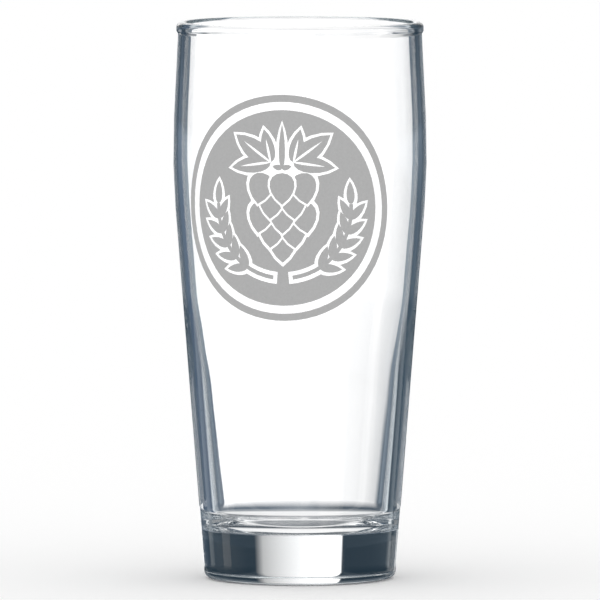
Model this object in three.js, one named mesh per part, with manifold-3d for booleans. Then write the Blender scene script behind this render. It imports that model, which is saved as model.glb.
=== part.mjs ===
// A tapered beer glass: beaded rim, gently flared belt, wall thickening into a heavy solid base,
// and a frosted enamel print fired on to the front.
// Millimetres, +Z up. The origin is the middle of the foot on the table, and the print faces -Y.
import * as THREE from "three";
import { mergeVertices } from "three/addons/utils/BufferGeometryUtils.js";
import Module from "manifold-3d";

const { degToRad, radToDeg } = THREE.MathUtils;
const wasm = await Module();
wasm.setup();

// Outside of the glass
const GLASS_HEIGHT = 166;
const FOOT_RADIUS = 28.4; // the lower cone carried down to the table
const FOOT_ROUNDING = 2.2;
const BELT_RADIUS = 38.15; // where the lower and upper cones would cross
const BELT_HEIGHT = 124;
const BELT_ROUNDING = 215;
const NECK_RADIUS = 36.3; // just under the bead

// Bead that the rim is melted into
const BEAD_HEIGHT = 3.6;
const BEAD_PROUD = 0.5;
const BEAD_UNDERSIDE = 0.9; // height of the slope under the bead
const BEAD_ROOT_ROUNDING = 0.5;
const BEAD_ROUNDING = 1.7;
const LIP_ROUNDING = 0.8; // inner edge of the rim

// Inside of the glass
const NECK_WALL = 2.1;
const BELT_WALL = 2.3;
const WAIST_WALL = 2.35;
const WAIST_HEIGHT = 81; // below this the wall thickens
const WAIST_ROUNDING = 150;
const LOWER_WALL = 3.6;
const LOWER_WALL_HEIGHT = 60; // below this the wall is nearly even
const LOWER_WALL_ROUNDING = 250;
const BASE_WALL = 4.45; // at the level of the floor
const FLOOR_HEIGHT = 14.7;
const FLOOR_DISH = 1; // how far the middle of the floor dips
const BOWL_ROUNDING = 7.5;

// Underside
const PUSH_UP_RADIUS = 23;
const PUSH_UP_DEPTH = 1.2;

// Frosted print, laid out flat as it is before it is wrapped on to the glass: u across, v up,
// from the middle of the roundel. Angles are in degrees, clockwise from upright.
const PRINT_MIDDLE_HEIGHT = 112.6;
const FILM_THICKNESS = 0.15;
const FILM_CLEARANCE = 0.05;
const BORDER_RADIUS = 33.5;
const BORDER_WIDTH = 2.1;
const FIELD_RADIUS = 29;
const MOTIF_GAP = 1.2; // clear line left round a motif
const BRACT_GAP = 0.8; // clear line between one bract and the next

const CONE_TOP = 10.4;
const CONE_ROWS = [1, 2, 3, 2, 3]; // bracts in each row of the hop cone, from its tip up
const ROW_PITCH = 4.3;
const BRACT_SPACING = 5.8;
const BRACT_LENGTH = 9.4;
const BRACT_WIDTH = 9;
const BRACT_ANGLE = 180; // the middle of a row hangs straight down
const BRACT_FAN_ANGLE = 10; // for each place from the middle of the row

const STEM_CLEARANCE = 1.4; // from the cone's top
const STEM_LENGTH = 13;
const STEM_WIDTH = 2.2;
const SEPAL_ANGLE = 78;
const SEPAL_LENGTH = 2.9;
const SEPAL_WIDTH = 2;

// A hop leaf of three lobes that spread from one root
const LEAF_ROOT_ACROSS = 3.4;
const LEAF_ROOT_HEIGHT = 13.6;
const UPPER_LOBE_ANGLE = 12;
const UPPER_LOBE_LENGTH = 10;
const UPPER_LOBE_WIDTH = 5;
const MIDDLE_LOBE_ANGLE = 54;
const MIDDLE_LOBE_LENGTH = 13.6;
const MIDDLE_LOBE_WIDTH = 7.4;
const LOWER_LOBE_ANGLE = 98;
const LOWER_LOBE_LENGTH = 12.6;
const LOWER_LOBE_WIDTH = 6;
const VEIN_WIDTH = 0.9;
const VEIN_MARGIN = 3; // from the end of a vein to the tip of its lobe

// A barley ear's stalk follows an arc about the roundel's middle. Its places are degrees up from level.
const EAR_RADIUS = 20.8;
const STALK_WIDTH = 1.2;
const STALK_START_ANGLE = -82;
const GRAIN_START_ANGLE = -58;
const GRAIN_STEP_ANGLE = 12.2;
const GRAIN_PAIRS = 5;
const GRAIN_LENGTH = 6.8;
const GRAIN_WIDTH = 3.1;
const GRAIN_LEAN_ANGLE = 38;

const SIDES = [
  { hand: "left", side: -1 },
  { hand: "right", side: 1 },
];

// Fineness of the facets
const GIRTH_FACETS = 72;
const FILM_FACETS = 144;
const FACET_DEVIATION = 0.035; // of a chord from its arc
const OUTLINE_STEPS = 7; // along each side of a petal
const SAME_POINT = 1e-4; // corners closer than this are one

// How far along a petal is widest, and how full its sides are there
const PETAL_SHOULDER = 0.6;
const PETAL_BELLY = 1.2;

const GLASS = { color: 0xe4edf1, roughness: 0.03, metalness: 0, transparent: true, opacity: 0.35 };
const ENAMEL = { color: 0xb0b0b0, roughness: 0.75, metalness: 0 };

// How many chords an arc of this radius and turn needs.
function chordCount(radius, turn) {
  const widest = 2 * Math.acos(Math.max(0, 1 - FACET_DEVIATION / radius));
  return Math.max(1, Math.ceil(Math.abs(turn) / widest));
}

// The points of the arc that rounds off one corner of a profile.
function cornerArc(before, corner, after) {
  const at = new THREE.Vector2(corner.r, corner.z);
  const back = new THREE.Vector2(before.r, before.z).sub(at).normalize();
  const on = new THREE.Vector2(after.r, after.z).sub(at).normalize();
  const half = Math.acos(THREE.MathUtils.clamp(back.dot(on), -1, 1)) / 2;
  const start = at.clone().addScaledVector(back, corner.rounding / Math.tan(half));
  const bisector = back.clone().add(on).normalize();
  const centre = at.clone().addScaledVector(bisector, corner.rounding / Math.sin(half));
  const turn = -Math.sign(back.cross(on)) * (Math.PI - 2 * half);
  const chords = chordCount(corner.rounding, turn);
  const step = turn / chords;
  return Array.from({ length: chords + 1 }, (_, i) => start.clone().rotateAround(centre, step * i));
}

// A chain of corners as profile points, each corner with a rounding turned into an arc.
function roundedProfile(corners) {
  return corners.flatMap((corner, i) =>
    corner.rounding
      ? cornerArc(corners[i - 1], corner, corners[i + 1])
      : [new THREE.Vector2(corner.r, corner.z)],
  );
}

// Radius of the lower cone's outside, and of the upper cone's, before the belt is rounded.
function lowerConeRadius(z) {
  return THREE.MathUtils.mapLinear(z, 0, BELT_HEIGHT, FOOT_RADIUS, BELT_RADIUS);
}

function upperConeRadius(z) {
  return THREE.MathUtils.mapLinear(z, BELT_HEIGHT, GLASS_HEIGHT - BEAD_HEIGHT, BELT_RADIUS, NECK_RADIUS);
}

// The shallow dome pushed up under the foot, from the axis out to the ring that the glass stands on.
function pushUpProfile() {
  const domeRadius = (PUSH_UP_RADIUS ** 2 + PUSH_UP_DEPTH ** 2) / (2 * PUSH_UP_DEPTH);
  const chords = chordCount(domeRadius, Math.asin(PUSH_UP_RADIUS / domeRadius));
  return Array.from({ length: chords }, (_, i) => {
    const r = (PUSH_UP_RADIUS * i) / chords;
    return new THREE.Vector2(r, PUSH_UP_DEPTH - domeRadius + Math.sqrt(domeRadius ** 2 - r ** 2));
  });
}

// Corners of the outside wall
const footCorner = { r: FOOT_RADIUS, z: 0 };
const beltCorner = { r: BELT_RADIUS, z: BELT_HEIGHT, rounding: BELT_ROUNDING };
const neckCorner = { r: NECK_RADIUS, z: GLASS_HEIGHT - BEAD_HEIGHT };

// From the ring that the glass stands on, up the outside, over the bead and down the inside to the
// middle of the floor.
function wallProfile() {
  const beadRadius = NECK_RADIUS + BEAD_PROUD;
  return roundedProfile([
    { r: PUSH_UP_RADIUS, z: 0 },
    { ...footCorner, rounding: FOOT_ROUNDING },
    beltCorner,
    { ...neckCorner, rounding: BEAD_ROOT_ROUNDING },
    { r: beadRadius, z: GLASS_HEIGHT - BEAD_HEIGHT + BEAD_UNDERSIDE, rounding: BEAD_ROOT_ROUNDING },
    { r: beadRadius, z: GLASS_HEIGHT, rounding: BEAD_ROUNDING },
    { r: upperConeRadius(GLASS_HEIGHT) - NECK_WALL, z: GLASS_HEIGHT, rounding: LIP_ROUNDING },
    { r: BELT_RADIUS - BELT_WALL, z: BELT_HEIGHT, rounding: BELT_ROUNDING - BELT_WALL },
    { r: lowerConeRadius(WAIST_HEIGHT) - WAIST_WALL, z: WAIST_HEIGHT, rounding: WAIST_ROUNDING },
    {
      r: lowerConeRadius(LOWER_WALL_HEIGHT) - LOWER_WALL,
      z: LOWER_WALL_HEIGHT,
      rounding: LOWER_WALL_ROUNDING,
    },
    { r: lowerConeRadius(FLOOR_HEIGHT) - BASE_WALL, z: FLOOR_HEIGHT, rounding: BOWL_ROUNDING },
    { r: 0, z: FLOOR_HEIGHT - FLOOR_DISH },
  ]);
}

// Revolves a profile about the upright axis.
function revolve(profile, facets) {
  return new THREE.LatheGeometry(profile, facets).rotateX(Math.PI / 2);
}

function glassGeometry() {
  return revolve([...pushUpProfile(), ...wallProfile()], GIRTH_FACETS);
}

// A closed geometry as a solid that can be joined and cut.
function solidOf(geometry) {
  const bare = geometry.clone();
  bare.deleteAttribute("normal");
  bare.deleteAttribute("uv");
  const merged = mergeVertices(bare, SAME_POINT);
  return new wasm.Manifold(
    new wasm.Mesh({
      numProp: 3,
      vertProperties: merged.attributes.position.array,
      triVerts: new Uint32Array(merged.index.array),
    }),
  );
}

function geometryOf(solid) {
  const mesh = solid.getMesh();
  return new THREE.BufferGeometry()
    .setAttribute("position", new THREE.BufferAttribute(mesh.vertProperties, 3))
    .setIndex(new THREE.BufferAttribute(mesh.triVerts, 1));
}

// A sleeve of enamel over the whole outside wall, from which the print is cut.
function enamelSleeve() {
  const wall = roundedProfile([footCorner, beltCorner, neckCorner]);
  const offset = (distance) => wall.map((point) => new THREE.Vector2(point.x + distance, point.y));
  const outside = offset(FILM_CLEARANCE + FILM_THICKNESS);
  const inside = offset(FILM_CLEARANCE).reverse();
  return solidOf(revolve([...outside, ...inside, outside[0]], FILM_FACETS));
}

// A flat outline as a punch from the axis out past the front of the glass. Across, it follows the
// girth, so it is as narrow seen from the front as the wrapped print is.
function punch(outline) {
  const wrapped = outline.map(
    ({ x, y }) => new THREE.Vector2(BELT_RADIUS * Math.sin(x / BELT_RADIUS), y + PRINT_MIDDLE_HEIGHT),
  );
  const depth = BELT_RADIUS + NECK_RADIUS;
  const prism = new THREE.ExtrudeGeometry(new THREE.Shape(wrapped), { depth, bevelEnabled: false });
  return solidOf(prism.rotateX(Math.PI / 2));
}

function join(solids) {
  return solids.reduce((sum, solid) => sum.add(solid));
}

// Points evenly spaced along an arc about the roundel's middle, in degrees up from level.
function arcPoints(radius, from, to) {
  const chords = chordCount(radius, degToRad(to - from));
  return Array.from({ length: chords + 1 }, (_, i) => {
    const angle = degToRad(from + ((to - from) * i) / chords);
    return new THREE.Vector2(radius * Math.cos(angle), radius * Math.sin(angle));
  });
}

function disc(radius) {
  return punch(arcPoints(radius, 0, 360).slice(1));
}

// A pointed petal that leans from its root, with the same outline grown outwards by a margin.
function petal(root, lean, length, width, margin = 0) {
  const half = width / 2 + margin;
  const foot = -margin;
  const shoulder = PETAL_SHOULDER * length;
  const outline = new THREE.Path()
    .moveTo(0, foot)
    .bezierCurveTo(half, foot, PETAL_BELLY * half, shoulder, 0, length + margin)
    .bezierCurveTo(-PETAL_BELLY * half, shoulder, -half, foot, 0, foot)
    .getPoints(OUTLINE_STEPS)
    .slice(1);
  const start = new THREE.Vector2();
  const place = new THREE.Vector2(root.u, root.v);
  return punch(outline.map((point) => point.rotateAround(start, -degToRad(lean)).add(place)));
}

// The bracts of the hop cone, from its tip up. In a row the outer ones come first, so that each
// bract hangs over those before it.
function coneBracts() {
  return CONE_ROWS.flatMap((bracts, row) => {
    const v = CONE_TOP - (CONE_ROWS.length - 1 - row) * ROW_PITCH;
    const places = Array.from({ length: bracts }, (_, i) => i - (bracts - 1) / 2);
    places.sort((a, b) => Math.abs(b) - Math.abs(a));
    return places.map((place) => ({
      root: { u: place * BRACT_SPACING, v },
      lean: BRACT_ANGLE - place * BRACT_FAN_ANGLE,
    }));
  });
}

function bractPetal({ root, lean }, margin) {
  return petal(root, lean, BRACT_LENGTH, BRACT_WIDTH, margin);
}

// Each bract, with a clear line where the next ones hang over it.
function hopBracts() {
  const bracts = coneBracts();
  return bracts.map((bract, i) =>
    bracts
      .slice(i + 1)
      .reduce((left, over) => left.subtract(bractPetal(over, BRACT_GAP)), bractPetal(bract, 0)),
  );
}

function hopStem(margin) {
  const root = { u: 0, v: CONE_TOP + STEM_CLEARANCE };
  const sepals = SIDES.map(({ side }) => petal(root, side * SEPAL_ANGLE, SEPAL_LENGTH, SEPAL_WIDTH, margin));
  return join([petal(root, 0, STEM_LENGTH, STEM_WIDTH, margin), ...sepals]);
}

// Petals spread from the root of a hop leaf. side is 1 on the right and -1 on the left.
function leafPetals(side, petals, margin) {
  const root = { u: side * LEAF_ROOT_ACROSS, v: LEAF_ROOT_HEIGHT };
  return join(petals.map(({ lean, length, width }) => petal(root, side * lean, length, width, margin)));
}

const leafLobes = [
  { lean: UPPER_LOBE_ANGLE, length: UPPER_LOBE_LENGTH, width: UPPER_LOBE_WIDTH },
  { lean: MIDDLE_LOBE_ANGLE, length: MIDDLE_LOBE_LENGTH, width: MIDDLE_LOBE_WIDTH },
  { lean: LOWER_LOBE_ANGLE, length: LOWER_LOBE_LENGTH, width: LOWER_LOBE_WIDTH },
];

function leafBlade(side, margin) {
  return leafPetals(side, leafLobes, margin);
}

function leafVeins(side) {
  const veins = leafLobes.map(({ lean, length }) => ({
    lean,
    length: length - VEIN_MARGIN,
    width: VEIN_WIDTH,
  }));
  return leafPetals(side, veins, 0);
}

// The stalk of a barley ear, a band along its arc.
function barleyStalk(side, tip, margin) {
  const half = STALK_WIDTH / 2 + margin;
  const reach = radToDeg(margin / EAR_RADIUS);
  const edges = [EAR_RADIUS - half, EAR_RADIUS + half].map((radius) =>
    arcPoints(radius, STALK_START_ANGLE - reach, tip + reach),
  );
  const band = [...edges[0], ...edges[1].reverse()];
  return punch(band.map(({ x, y }) => new THREE.Vector2(side * x, y)));
}

// A barley ear: pairs of grains along the stalk and one at its tip.
function barleyEar(side, margin) {
  const tip = GRAIN_START_ANGLE + GRAIN_PAIRS * GRAIN_STEP_ANGLE;
  const grain = (place, lean) => {
    const [at] = arcPoints(EAR_RADIUS, place, place);
    return petal({ u: side * at.x, v: at.y }, side * (lean - place), GRAIN_LENGTH, GRAIN_WIDTH, margin);
  };
  const pairs = Array.from({ length: GRAIN_PAIRS }, (_, i) => GRAIN_START_ANGLE + i * GRAIN_STEP_ANGLE);
  const grains = pairs.flatMap((place) => [
    grain(place, -GRAIN_LEAN_ANGLE),
    grain(place, GRAIN_LEAN_ANGLE),
  ]);
  return join([barleyStalk(side, tip, margin), ...grains, grain(tip, 0)]);
}

// The field with a clearing for every motif.
function printField() {
  const clearings = [
    ...coneBracts().map((bract) => bractPetal(bract, MOTIF_GAP)),
    hopStem(MOTIF_GAP),
    ...SIDES.flatMap(({ side }) => [leafBlade(side, MOTIF_GAP), barleyEar(side, MOTIF_GAP)]),
  ];
  return disc(FIELD_RADIUS).subtract(join(clearings));
}

const glass = new THREE.Group();

function addPiece(name, geometry, look) {
  const mesh = new THREE.Mesh(geometry, new THREE.MeshStandardMaterial(look));
  mesh.name = name;
  glass.add(mesh);
}

const sleeve = enamelSleeve();

// One island of the print. Specks that are cut off beside it are too small to print.
function addPrint(name, outline) {
  const [island] = sleeve
    .intersect(outline)
    .decompose()
    .sort((a, b) => b.volume() - a.volume());
  addPiece(name, geometryOf(island), ENAMEL);
}

addPiece("glass_body", glassGeometry(), GLASS);
addPrint("print_border", disc(BORDER_RADIUS).subtract(disc(BORDER_RADIUS - BORDER_WIDTH)));
addPrint("print_field", printField());
hopBracts().forEach((bract, i) => addPrint(`print_hop_bract_${i + 1}`, bract));
addPrint("print_hop_stem", hopStem(0));
for (const { hand, side } of SIDES) {
  addPrint(`print_hop_leaf_${hand}`, leafBlade(side, 0).subtract(leafVeins(side)));
  addPrint(`print_barley_ear_${hand}`, barleyEar(side, 0));
}

export default glass;
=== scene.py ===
import math

import bpy
import numpy as np
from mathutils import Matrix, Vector


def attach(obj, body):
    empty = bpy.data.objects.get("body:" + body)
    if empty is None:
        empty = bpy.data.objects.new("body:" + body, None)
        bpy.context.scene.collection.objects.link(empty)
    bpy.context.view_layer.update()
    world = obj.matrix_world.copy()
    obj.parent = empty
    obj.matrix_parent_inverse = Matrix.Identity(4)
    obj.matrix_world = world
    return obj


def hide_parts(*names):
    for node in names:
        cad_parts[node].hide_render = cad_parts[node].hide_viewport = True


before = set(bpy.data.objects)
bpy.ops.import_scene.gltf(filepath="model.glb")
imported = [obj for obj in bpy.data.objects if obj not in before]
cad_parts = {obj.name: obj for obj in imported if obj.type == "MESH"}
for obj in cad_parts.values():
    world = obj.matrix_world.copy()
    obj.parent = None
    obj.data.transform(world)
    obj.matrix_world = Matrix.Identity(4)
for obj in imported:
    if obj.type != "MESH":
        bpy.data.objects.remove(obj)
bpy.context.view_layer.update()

MM = 0.001

# Outside of the glass, in millimetres
GLASS_HEIGHT = 166
FOOT_RADIUS = 28.4  # the lower cone carried down to the table
FOOT_ROUNDING = 2.2
BELT_RADIUS = 38.15  # where the lower and upper cones would cross
BELT_HEIGHT = 124
BELT_ROUNDING = 215
NECK_RADIUS = 36.3  # just under the bead

# Bead that the rim is melted into
BEAD_HEIGHT = 3.6
BEAD_PROUD = 0.5
BEAD_UNDERSIDE = 0.9  # height of the slope under the bead
BEAD_ROOT_ROUNDING = 0.5
BEAD_ROUNDING = 1.7
LIP_ROUNDING = 0.8  # inner edge of the rim

# Inside of the glass
NECK_WALL = 2.1
BELT_WALL = 2.3
WAIST_WALL = 2.35
WAIST_HEIGHT = 81  # below this the wall thickens
WAIST_ROUNDING = 150
LOWER_WALL = 3.6
LOWER_WALL_HEIGHT = 60  # below this the wall is nearly even
LOWER_WALL_ROUNDING = 250
BASE_WALL = 4.45  # at the level of the floor
FLOOR_HEIGHT = 14.7
FLOOR_DISH = 1  # how far the middle of the floor dips
BOWL_ROUNDING = 7.5

# Underside: a shallow dome pushed up inside the ring that the glass stands on
PUSH_UP_RADIUS = 23
PUSH_UP_DEPTH = 1.2
PUSH_UP_DOME = 200  # radius of the dome
PUSH_UP_ROUNDING = 3  # of the ring's inner edge

# Faint upright ripples in the skin of the glass
RIPPLE_SPACING = 7
RIPPLE_LENGTH = 40
RIPPLE_DEPTH = 0.02

# Stipple of the enamel, drawn about three times as coarse as its frit so that it shows
GRIT_SIZE = 0.6
GRIT_DEPTH = 0.05

GIRTH_STEPS = 256
ARC_STEP = math.radians(4)  # turn from one profile point to the next
STRETCH_STEP = 6  # of the profile between its arcs

# Camera, in metres and degrees
CAMERA_AZIMUTH = 8.1
CAMERA_DISTANCE = 3.6  # from the glass's axis, on the level
CAMERA_HEIGHT = 0.333
AIM_HEIGHT = 0.0829
PIXELS_PER_METRE = 3354  # at the axis
IMAGE_PIXELS = 600
SENSOR_WIDTH = 36

# Light runs a long way inside the rim before it leaves
LIGHT_BOUNCES = 160

# Floor as the glass shows it, in metres from the axis and degrees down: shade under the middle at a slant,
# and a contact shadow round the foot
FLOOR_SIZE = 30
FLOOR_GAP = 0.0002  # keeps the floor off the foot
UNDER_SHADE = "#36434e"
UNDER_SHARES = [(0.014, 1), (0.019, 0)]
UNDER_ANGLES = (50, 40)
FOOT_SHADE = "#2a3742"
FOOT_SHARES = [(0.0235, 0), (0.027, 1), (0.033, 1), (0.040, 0)]
SIDE_SHARES = [(0.028, 0), (0.032, 1)]  # left and right of the glass the contact shadow reaches further
SIDE_REACH = [(0.044, 1), (0.052, 0)]  # and ends here
NEAR_SHARES = [(0.22, 1), (0.30, 0)]
# Painted shade on the floor near the glass, by degrees round from +X, with a paler painted patch of window
# light before the window behind it
NEAR_SHADES = [(76, "#3d4b57"), (88, "#3d4b57"), (98, "#8b939b"), (108, "#5b6875"), (120, "#5b6875")]
NEAR_BEARINGS = [(40, 0), (55, 1), (141, 1), (156, 0)]  # where those shades lie
GRAZING_ANGLES = (25, 20)  # the far walls start to show
LEVEL_ANGLES = (18, 8)  # the shades near the glass stop showing

# Cards a little behind the glass, cut to its outline, glowing with painted dark shade for the glass's edges:
# millimetres, and shades by how far out they are
CARD_BEHIND = 20
CARD_BOTTOM = 17
CARD_SHADES = [(0.8, "#74828f"), (3, "#62707d"), (4.5, "#3f4e5a"), (12, "#4c5a67")]
CARD_ANGLES = (30, 35)  # the card fades between these, from square on

# Far walls as the glass shows them. Rises are sines of the angle above the horizon, and bearings are degrees
# to the right of the window behind the glass.
WALL_SHADES = [
    (-58, "#8a96a2"),
    (-53, "#dfe7ec"),
    (-47, "#dfe7ec"),
    (-43, "#42536a"),
    (-33, "#52647a"),
    (-20, "#3f5166"),
    (20, "#30424f"),
    (30, "#3c4f5e"),
    (43, "#283a47"),
    (46, "#dfe7ec"),
    (51, "#dfe7ec"),
    (56, "#8a96a2"),
]
# What lies over those shades: a pale haze low down, the darkest part along the horizon, a pale part high up
VEILS = [
    ("#8c9aa8", [(-0.16, 0.0), (-0.045, 0.5)]),
    ("#24333e", [(-0.042, 0.0), (-0.026, 1.0)]),
    ("#aab4bd", [(0.2, 0.0), (0.45, 0.3)]),
]
OVERHEAD_RISE = 0.9  # the light overhead starts here

# Lit windows in those walls: bearing, half width as a slope, glow in the middle and what it loses towards the
# right edge, the last three by rise
WINDOW_TOP = 0.9
LEFT_EDGE = 0.04
RIGHT_EDGE = 0.12
BOTTOM_EDGE = 0.02
SIDE_WINDOWS = [(-82, -0.36), (98, -0.18), (188, -0.18)]  # bearings and bottoms of the even, narrow ones
SIDE_HALF_WIDTH = 0.12
WINDOWS = [
    {
        "toward": 0,
        "half_widths": [(-0.042, 0.247), (-0.026, 0.317), (0.05, 0.317), (0.08, 0.31)],
        "glows": [(-0.1, 1.24), (-0.07, 1.29), (-0.042, 1.33), (-0.026, 1.12)],
        "losses": [(-0.12, 0.45), (-0.045, 0.1), (-0.026, 0.66)],
        "bottom": -0.36,
    },
    {
        "toward": 143,
        "half_widths": [(-0.042, 0.247), (-0.026, 0.317)],
        "glows": [(-0.042, 1), (-0.026, 0.35)],
        "losses": [(0, 0)],
        "bottom": -0.45,
    },
    *(
        {
            "toward": toward,
            "half_widths": [(0, SIDE_HALF_WIDTH)],
            "glows": [(0, 1)],
            "losses": [(0, 0)],
            "bottom": bottom,
        }
        for toward, bottom in SIDE_WINDOWS
    ),
]


def linear(hex_colour):
    """Linear RGBA of an sRGB hex value."""
    srgb = np.array([int(hex_colour[i : i + 2], 16) for i in (1, 3, 5)]) / 255
    rgb = np.where(srgb <= 0.04045, srgb / 12.92, ((srgb + 0.055) / 1.055) ** 2.4)
    return (*rgb.tolist(), 1.0)


def node(tree, kind, inputs=None, stops=(), **settings):
    """Adds a node with its settings. Each input, by name or number, is a value, a socket that feeds it, or a
    node whose first output does. Stops are the places and shades of a ramp."""
    made = tree.nodes.new(kind)
    for name, value in settings.items():
        setattr(made, name, value)
    for key, value in (inputs or {}).items():
        source = value.outputs[0] if isinstance(value, bpy.types.Node) else value
        if isinstance(source, bpy.types.NodeSocket):
            tree.links.new(source, made.inputs[key])
        else:
            made.inputs[key].default_value = source
    for _ in stops[2:]:
        made.color_ramp.elements.new(0.5)
    for i, (position, shade) in enumerate(stops):
        made.color_ramp.elements[i].position = position
        made.color_ramp.elements[i].color = linear(shade)
    return made


def blank_material(name):
    material = bpy.data.materials.new(name)
    material.use_nodes = True
    material.node_tree.nodes.clear()
    return material


def rounded(before, corner, after, rounding):
    """Points and unit tangents of the arc that rounds off a corner: it leaves the line from the corner before
    at rounding / tan(half the corner's angle), and turns about a centre on the bisector."""
    back = (before - corner) / np.linalg.norm(before - corner)
    on = (after - corner) / np.linalg.norm(after - corner)
    half = math.acos(np.clip(back @ on, -1, 1)) / 2
    start = corner + back * rounding / math.tan(half)
    bisector = (back + on) / np.linalg.norm(back + on)
    centre = corner + bisector * rounding / math.sin(half)
    turn = -np.sign(back[0] * on[1] - back[1] * on[0]) * (math.pi - 2 * half)
    angles = np.linspace(0, turn, max(3, math.ceil(abs(turn) / ARC_STEP)))
    cos, sin = np.cos(angles), np.sin(angles)
    arm = start - centre
    points = centre + np.stack([arm[0] * cos - arm[1] * sin, arm[0] * sin + arm[1] * cos], axis=1)
    heading = -back
    tangents = np.stack([heading[0] * cos - heading[1] * sin, heading[0] * sin + heading[1] * cos], axis=1)
    return points, tangents


def profile(corners):
    """Points and unit normals of a profile given as (radius, height, rounding) corners: an arc at each inner
    corner and evenly spaced points along the straight stretches between."""
    places = np.array([corner[:2] for corner in corners], dtype=float)
    arcs = [
        rounded(places[i - 1], places[i], places[i + 1], corners[i][2])
        for i in range(1, len(corners) - 1)
    ]
    first = (places[:1], arcs[0][1][:1])
    last = (places[-1:], arcs[-1][1][-1:])
    chain = [first, *arcs, last]
    points, tangents = [first[0]], [first[1]]
    for (earlier, _), (later, heading) in zip(chain, chain[1:]):
        span = later[0] - earlier[-1]
        steps = max(1, math.ceil(np.linalg.norm(span) / STRETCH_STEP))
        shares = np.arange(1, steps)[:, None] / steps
        points += [earlier[-1] + shares * span, later]
        tangents += [np.repeat(heading[:1], steps - 1, axis=0), heading]
    tangents = np.concatenate(tangents)
    normals = np.stack([tangents[:, 1], -tangents[:, 0]], axis=1)
    return np.concatenate(points), normals


def lathe(name, points, normals):
    """A profile that starts and ends on the axis, carried round it: (r cos a, r sin a, z), with one point at
    each pole."""
    angles = np.linspace(0, 2 * math.pi, GIRTH_STEPS, endpoint=False)
    cos, sin = np.cos(angles), np.sin(angles)

    def swept(rz):
        r, z = rz[1:-1, 0, None], rz[1:-1, 1, None]
        ring = np.stack([r * cos, r * sin, z + 0 * cos], axis=2).reshape(-1, 3)
        poles = np.array([[0, 0, rz[0, 1]], [0, 0, rz[-1, 1]]])
        return np.concatenate([ring, poles])

    rings = len(points) - 2
    grid = np.arange(rings * GIRTH_STEPS).reshape(rings, GIRTH_STEPS)
    beside = np.roll(grid, -1, axis=1)
    quads = np.stack([grid[:-1], beside[:-1], beside[1:], grid[1:]], axis=2).reshape(-1, 4)
    start, end = rings * GIRTH_STEPS, rings * GIRTH_STEPS + 1
    first = np.stack([np.full(GIRTH_STEPS, start), beside[0], grid[0]], axis=1)
    last = np.stack([grid[-1], beside[-1], np.full(GIRTH_STEPS, end)], axis=1)
    mesh = bpy.data.meshes.new(name)
    mesh.from_pydata(swept(points * MM), [], [*first.tolist(), *quads.tolist(), *last.tolist()])
    mesh.shade_smooth()
    mesh.normals_split_custom_set_from_vertices(swept(normals))
    piece = bpy.data.objects.new(name, mesh)
    bpy.context.scene.collection.objects.link(piece)
    return piece


def lower_cone(z):
    """Radius of the outside below the belt."""
    return FOOT_RADIUS + (BELT_RADIUS - FOOT_RADIUS) * z / BELT_HEIGHT


def glass_corners():
    """From the middle of the underside, round the foot, up the outside, over the bead and down the inside
    to the middle of the bowl's floor."""
    neck_height = GLASS_HEIGHT - BEAD_HEIGHT
    bead_radius = NECK_RADIUS + BEAD_PROUD
    upper_slope = (NECK_RADIUS - BELT_RADIUS) / (neck_height - BELT_HEIGHT)
    lip_radius = NECK_RADIUS + upper_slope * BEAD_HEIGHT - NECK_WALL
    return [
        (0, PUSH_UP_DEPTH, 0),
        (PUSH_UP_RADIUS / 2, PUSH_UP_DEPTH, PUSH_UP_DOME),
        (PUSH_UP_RADIUS, 0, PUSH_UP_ROUNDING),
        (FOOT_RADIUS, 0, FOOT_ROUNDING),
        (BELT_RADIUS, BELT_HEIGHT, BELT_ROUNDING),
        (NECK_RADIUS, neck_height, BEAD_ROOT_ROUNDING),
        (bead_radius, neck_height + BEAD_UNDERSIDE, BEAD_ROOT_ROUNDING),
        (bead_radius, GLASS_HEIGHT, BEAD_ROUNDING),
        (lip_radius, GLASS_HEIGHT, LIP_ROUNDING),
        (BELT_RADIUS - BELT_WALL, BELT_HEIGHT, BELT_ROUNDING - BELT_WALL),
        (lower_cone(WAIST_HEIGHT) - WAIST_WALL, WAIST_HEIGHT, WAIST_ROUNDING),
        (lower_cone(LOWER_WALL_HEIGHT) - LOWER_WALL, LOWER_WALL_HEIGHT, LOWER_WALL_ROUNDING),
        (lower_cone(FLOOR_HEIGHT) - BASE_WALL, FLOOR_HEIGHT, BOWL_ROUNDING),
        (0, FLOOR_HEIGHT - FLOOR_DISH, 0),
    ]


def soda_lime_glass():
    """Soda-lime glass, blown in a mould and fire polished: clear, with a cool tint that only its thick base
    and edges show, and faint upright ripples that waver what is seen through it."""
    material = blank_material("soda_lime_glass")
    tree = material.node_tree
    place = node(tree, "ShaderNodeTexCoord")
    upright = (1, 1, RIPPLE_SPACING / RIPPLE_LENGTH)
    stretched = node(tree, "ShaderNodeMapping", {"Vector": place.outputs["Object"], "Scale": upright})
    ripple = node(
        tree, "ShaderNodeTexNoise", {"Vector": stretched, "Scale": 1 / (RIPPLE_SPACING * MM), "Detail": 1.0}
    )
    skin = node(tree, "ShaderNodeBump", {"Height": ripple.outputs["Fac"], "Distance": RIPPLE_DEPTH * MM})
    surface = node(
        tree,
        "ShaderNodeBsdfPrincipled",
        {
            "Base Color": (1, 1, 1, 1),
            "Roughness": 0.0,
            "IOR": 1.52,
            "Transmission Weight": 1.0,
            "Normal": skin,
        },
    )
    tint = node(tree, "ShaderNodeVolumeAbsorption", {"Color": linear("#b4cad2"), "Density": 1.5})
    node(tree, "ShaderNodeOutputMaterial", {"Surface": surface, "Volume": tint})
    return material


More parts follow.
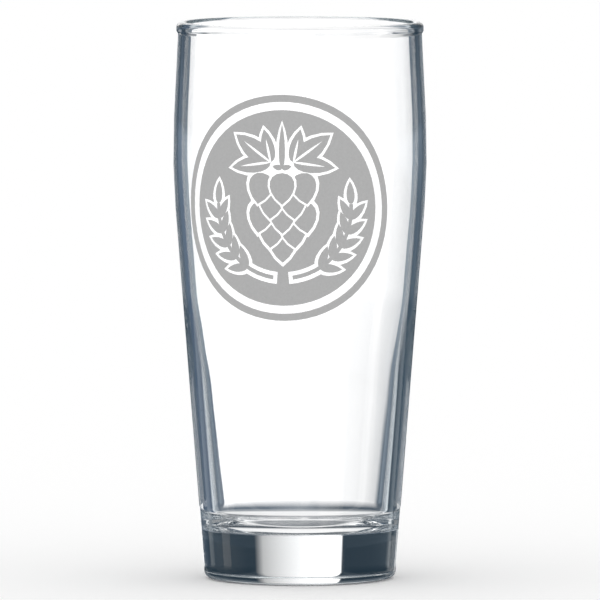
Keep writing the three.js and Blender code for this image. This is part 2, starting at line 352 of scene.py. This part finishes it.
def frosted_enamel():
    """Etch-effect enamel, screen printed and fired: a matt mid grey with the fine stipple of its frit."""
    material = blank_material("frosted_enamel")
    tree = material.node_tree
    place = node(tree, "ShaderNodeTexCoord")
    fineness = {"Scale": 1 / (GRIT_SIZE * MM), "Detail": 3.0}
    grit = node(tree, "ShaderNodeTexNoise", {"Vector": place.outputs["Object"], **fineness})
    shades = [(0, "#a9a9a9"), (1, "#b7b7b7")]
    speckle = node(tree, "ShaderNodeValToRGB", {"Fac": grit.outputs["Fac"]}, shades)
    stipple = node(
        tree, "ShaderNodeBump", {"Height": grit.outputs["Fac"], "Strength": 0.3, "Distance": GRIT_DEPTH * MM}
    )
    surface = node(
        tree,
        "ShaderNodeBsdfPrincipled",
        {"Base Color": speckle, "Roughness": 0.7, "IOR": 1.5, "Normal": stipple},
    )
    node(tree, "ShaderNodeOutputMaterial", {"Surface": surface})
    return material


def shaded(tree, value, shades, unit=1):
    """A value's shade, from a list of places and shades. The unit is that of the places."""
    first, last = shades[0][0] * unit, shades[-1][0] * unit
    share = node(tree, "ShaderNodeMapRange", {"Value": value, "From Min": first, "From Max": last})
    stops = [((place * unit - first) / (last - first), shade) for place, shade in shades]
    return node(tree, "ShaderNodeValToRGB", {"Fac": share}, stops)


def by_steps(tree, value, steps):
    """Goes in straight lines from one step to the next, each a place of the value and the result there."""
    result = steps[0][1]
    for (place, _), (next_place, after) in zip(steps, steps[1:]):
        span = {"From Min": place, "From Max": next_place, "To Min": result, "To Max": after}
        result = node(tree, "ShaderNodeMapRange", {"Value": value, **span})
    return result


def seen_in_glass(tree):
    """1 for what a reflection shows or the glass lets through, and 0 for the rest."""
    path = node(tree, "ShaderNodeLightPath")
    return node(
        tree,
        "ShaderNodeMath",
        {0: path.outputs["Is Glossy Ray"], 1: path.outputs["Is Transmission Ray"]},
        operation="MAXIMUM",
    )


def pale_floor():
    """Pale matt floor, which the glass shows as white from above. At a slant the glass shows its own shade
    under and behind it, and at a low angle further off the studio's far walls."""
    material = blank_material("pale_floor")
    tree = material.node_tree
    facing = node(tree, "ShaderNodeLayerWeight", {"Blend": 0.5}).outputs["Facing"]
    aslant, grazing, level = (
        by_steps(tree, facing, [(1 - math.sin(math.radians(steep)), 0), (1 - math.sin(math.radians(low)), 1)])
        for steep, low in (UNDER_ANGLES, GRAZING_ANGLES, LEVEL_ANGLES)
    )
    place = node(tree, "ShaderNodeTexCoord")
    distance = node(tree, "ShaderNodeVectorMath", {0: place.outputs["Object"]}, operation="LENGTH")
    under, foot, near_foot, near = (
        by_steps(tree, distance.outputs["Value"], shares)
        for shares in (UNDER_SHARES, FOOT_SHARES, SIDE_REACH, NEAR_SHARES)
    )
    axes = node(tree, "ShaderNodeSeparateXYZ", {"Vector": place.outputs["Object"]})
    bearing = node(tree, "ShaderNodeMath", {0: axes.outputs["Y"], 1: axes.outputs["X"]}, operation="ARCTAN2")
    shades = shaded(tree, bearing, NEAR_SHADES, math.radians(1))
    low = node(tree, "ShaderNodeMath", {0: grazing, 1: level}, operation="SUBTRACT")
    behind = by_steps(tree, bearing, [(math.radians(place), share) for place, share in NEAR_BEARINGS])
    near_behind = node(tree, "ShaderNodeMath", {0: near, 1: behind}, operation="MULTIPLY")
    low_and_near = node(tree, "ShaderNodeMath", {0: low, 1: near_behind}, operation="MULTIPLY")
    white = node(tree, "ShaderNodeEmission", {"Color": linear("#ffffff"), "Strength": 1.0})
    clear = node(tree, "ShaderNodeBsdfTransparent")
    beyond = node(tree, "ShaderNodeMixShader", {0: grazing, 1: white, 2: clear})
    # Painted shade near the glass, with its paler painted patch of window light, glowing where the glass
    # shows it
    beside = node(tree, "ShaderNodeEmission", {"Color": shades, "Strength": 1.0})
    around = node(tree, "ShaderNodeMixShader", {0: low_and_near, 1: beyond, 2: beside})
    under_aslant = node(tree, "ShaderNodeMath", {0: under, 1: aslant}, operation="MULTIPLY")
    _, sideways = along(tree, place.outputs["Object"], level_axes(0))
    aside = by_steps(tree, node(tree, "ShaderNodeMath", {0: sideways}, operation="ABSOLUTE"), SIDE_SHARES)
    beside_foot = node(tree, "ShaderNodeMath", {0: aside, 1: near_foot}, operation="MULTIPLY")
    through = around
    for shade, share in ((UNDER_SHADE, under_aslant), (FOOT_SHADE, beside_foot), (FOOT_SHADE, foot)):
        patch = node(tree, "ShaderNodeEmission", {"Color": linear(shade), "Strength": 1.0})
        through = node(tree, "ShaderNodeMixShader", {0: share, 1: through, 2: patch})
    pale = node(tree, "ShaderNodeBsdfDiffuse", {"Color": linear("#ffffff")})
    surface = node(tree, "ShaderNodeMixShader", {0: seen_in_glass(tree), 1: pale, 2: through})
    node(tree, "ShaderNodeOutputMaterial", {"Surface": surface})
    return material


def set_stage(name, places, faces, material):
    """Adds a mesh of the studio round the glass."""
    mesh = bpy.data.meshes.new(name)
    mesh.from_pydata(places, [], faces)
    mesh.materials.append(material)
    piece = bpy.data.objects.new(name, mesh)
    bpy.context.scene.collection.objects.link(piece)
    return mesh


def studio_floor():
    """A level square under the foot."""
    reach = FLOOR_SIZE / 2
    corners = [(-reach, -reach), (reach, -reach), (reach, reach), (-reach, reach)]
    set_stage("floor", [(x, y, -FLOOR_GAP) for x, y in corners], [(0, 1, 2, 3)], pale_floor())


def level_axes(bearing):
    """Ahead and rightward along the level, for degrees to the right of the window behind the glass."""
    turn = math.radians(90 + CAMERA_AZIMUTH - bearing)
    ahead = (math.cos(turn), math.sin(turn), 0)
    return ahead, (ahead[1], -ahead[0], 0)


def along(tree, direction, axes):
    """How far a direction goes along each axis."""
    return [
        node(tree, "ShaderNodeVectorMath", {0: direction, 1: axis}, operation="DOT_PRODUCT").outputs["Value"]
        for axis in axes
    ]


def lit_window(tree, direction, rise, walls, toward, half_widths, glows, losses, bottom):
    """A lit window in front of the walls. How far across it a direction falls, -1 to 1 from left to right, is
    its sideways over its forward slope, by the half width there."""
    forward, side = along(tree, direction, level_axes(toward))
    slope = node(tree, "ShaderNodeMath", {0: side, 1: forward}, operation="DIVIDE")
    half_width = by_steps(tree, rise, half_widths)
    across = node(tree, "ShaderNodeMath", {0: slope, 1: half_width}, operation="DIVIDE")
    limits = [
        by_steps(tree, across, [(-1 - LEFT_EDGE, 0), (-1 + LEFT_EDGE, 1)]),
        by_steps(tree, across, [(1 - RIGHT_EDGE, 1), (1 + RIGHT_EDGE, 0)]),
        by_steps(tree, rise, [(bottom - BOTTOM_EDGE, 0), (bottom, 1)]),
        node(tree, "ShaderNodeMath", {0: rise, 1: WINDOW_TOP}, operation="LESS_THAN"),
        node(tree, "ShaderNodeMath", {0: forward, 1: 0.0}, operation="GREATER_THAN"),
    ]
    inside = limits[0]
    for limit in limits[1:]:
        inside = node(tree, "ShaderNodeMath", {0: inside, 1: limit}, operation="MULTIPLY")
    lost = node(tree, "ShaderNodeMath", {0: across, 1: by_steps(tree, rise, losses)}, operation="MULTIPLY")
    glow = node(tree, "ShaderNodeMath", {0: by_steps(tree, rise, glows), 1: lost}, operation="SUBTRACT")
    lit = node(tree, "ShaderNodeBackground", {"Color": linear("#ffffff"), "Strength": glow})
    return node(tree, "ShaderNodeMixShader", {0: inside, 1: walls, 2: lit})


def painted_edge_shade():
    """Card glowing with painted dark shade, which only the glass shows, and only nearly square on, shaded by
    how far out it is.
    """
    material = blank_material("painted_edge_shade")
    tree = material.node_tree
    outward = node(tree, "ShaderNodeAttribute", attribute_name="outward")
    dark = node(
        tree,
        "ShaderNodeEmission",
        {"Color": shaded(tree, outward.outputs["Fac"], CARD_SHADES), "Strength": 1.0},
    )
    clear = node(tree, "ShaderNodeBsdfTransparent")
    facing = node(tree, "ShaderNodeLayerWeight", {"Blend": 0.5}).outputs["Facing"]
    square, aside = (1 - math.cos(math.radians(angle)) for angle in CARD_ANGLES)
    solid = by_steps(tree, facing, [(square, 1), (aside, 0)])
    shown = node(tree, "ShaderNodeMath", {0: solid, 1: seen_in_glass(tree)}, operation="MULTIPLY")
    surface = node(tree, "ShaderNodeMixShader", {0: shown, 1: clear, 2: dark})
    node(tree, "ShaderNodeOutputMaterial", {"Surface": surface})
    return material


def edge_cards(points):
    """Two cards in the upright plane behind the glass. Across, each lies from a little outside the glass's
    outline outwards, at every height: their painted shade darkens its edges and leaves the clear middle
    alone."""
    material = painted_edge_shade()
    outside = points[: np.argmax(points[:, 1]) + 1]
    outside = outside[outside[:, 1] >= CARD_BOTTOM]
    steps = np.array([step for step, _ in CARD_SHADES])
    ahead, rightward = (np.array(axis) for axis in level_axes(0))
    up = outside[:, 1, None, None] * np.array([0, 0, 1])
    grid = np.arange(len(outside) * len(steps)).reshape(len(outside), len(steps))
    quads = np.stack([grid[:-1, :-1], grid[:-1, 1:], grid[1:, 1:], grid[1:, :-1]], axis=2).reshape(-1, 4)
    for hand, side in (("left", -1), ("right", 1)):
        across = side * (outside[:, :1] + steps)
        places = across[:, :, None] * rightward + CARD_BEHIND * ahead + up
        mesh = set_stage(f"card_{hand}", places.reshape(-1, 3) * MM, quads.tolist(), material)
        how_far = mesh.attributes.new("outward", "FLOAT", "POINT")
        how_far.data.foreach_set("value", np.tile(steps, len(outside)))


def studio_world():
    """White to the camera, soft light on what is matt, and in what the glass shows, lit windows in dark
    walls, which are paler towards the horizon and darkest along it."""
    world = bpy.data.worlds.new("studio")
    bpy.context.scene.world = world
    world.use_nodes = True
    tree = world.node_tree
    tree.nodes.clear()
    direction = node(tree, "ShaderNodeTexCoord").outputs["Generated"]
    rise = node(tree, "ShaderNodeSeparateXYZ", {"Vector": direction}).outputs["Z"]

    forward, side = along(tree, direction, level_axes(0))
    bearing = node(tree, "ShaderNodeMath", {0: side, 1: forward}, operation="ARCTAN2")
    shades = shaded(tree, bearing, WALL_SHADES, math.radians(1))
    shown = node(tree, "ShaderNodeBackground", {"Color": shades, "Strength": 1.0})
    for shade, shares in VEILS:
        veil = node(tree, "ShaderNodeBackground", {"Color": linear(shade), "Strength": 1.0})
        share = by_steps(tree, rise, shares)
        shown = node(tree, "ShaderNodeMixShader", {0: share, 1: shown, 2: veil})
    for lit in WINDOWS:
        shown = lit_window(tree, direction, rise, shown, **lit)

    white = node(tree, "ShaderNodeBackground", {"Color": linear("#ffffff"), "Strength": 1.0})
    overhead = node(tree, "ShaderNodeMath", {0: rise, 1: OVERHEAD_RISE}, operation="GREATER_THAN")
    shown = node(tree, "ShaderNodeMixShader", {0: overhead, 1: shown, 2: white})
    studio = node(tree, "ShaderNodeMixShader", {0: seen_in_glass(tree), 1: white, 2: shown})
    node(tree, "ShaderNodeOutputWorld", {"Surface": studio})


def studio_camera():
    azimuth = math.radians(CAMERA_AZIMUTH)
    lens_place = Vector((math.sin(azimuth), -math.cos(azimuth), 0)) * CAMERA_DISTANCE
    lens_place.z = CAMERA_HEIGHT
    sight = Vector((0, 0, AIM_HEIGHT)) - lens_place
    data = bpy.data.cameras.new("camera")
    data.sensor_width = SENSOR_WIDTH
    data.lens = PIXELS_PER_METRE * sight.length * SENSOR_WIDTH / IMAGE_PIXELS
    camera = bpy.data.objects.new("camera", data)
    camera.location = lens_place
    camera.rotation_euler = sight.to_track_quat("-Z", "Y").to_euler()
    bpy.context.scene.collection.objects.link(camera)
    bpy.context.scene.camera = camera


points, normals = profile(glass_corners())
glass = lathe("clear_glass", points, normals)
glass.data.materials.append(soda_lime_glass())
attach(glass, "root")
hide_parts("glass_body")

enamel = frosted_enamel()
for name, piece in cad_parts.items():
    if name.startswith("print_"):
        piece.data.materials.clear()
        piece.data.materials.append(enamel)

studio_floor()
edge_cards(points)
studio_world()
studio_camera()
scene = bpy.context.scene
scene.view_settings.view_transform = "Standard"
for limit in ("max_bounces", "glossy_bounces", "transmission_bounces", "transparent_max_bounces"):
    setattr(scene.cycles, limit, LIGHT_BOUNCES)
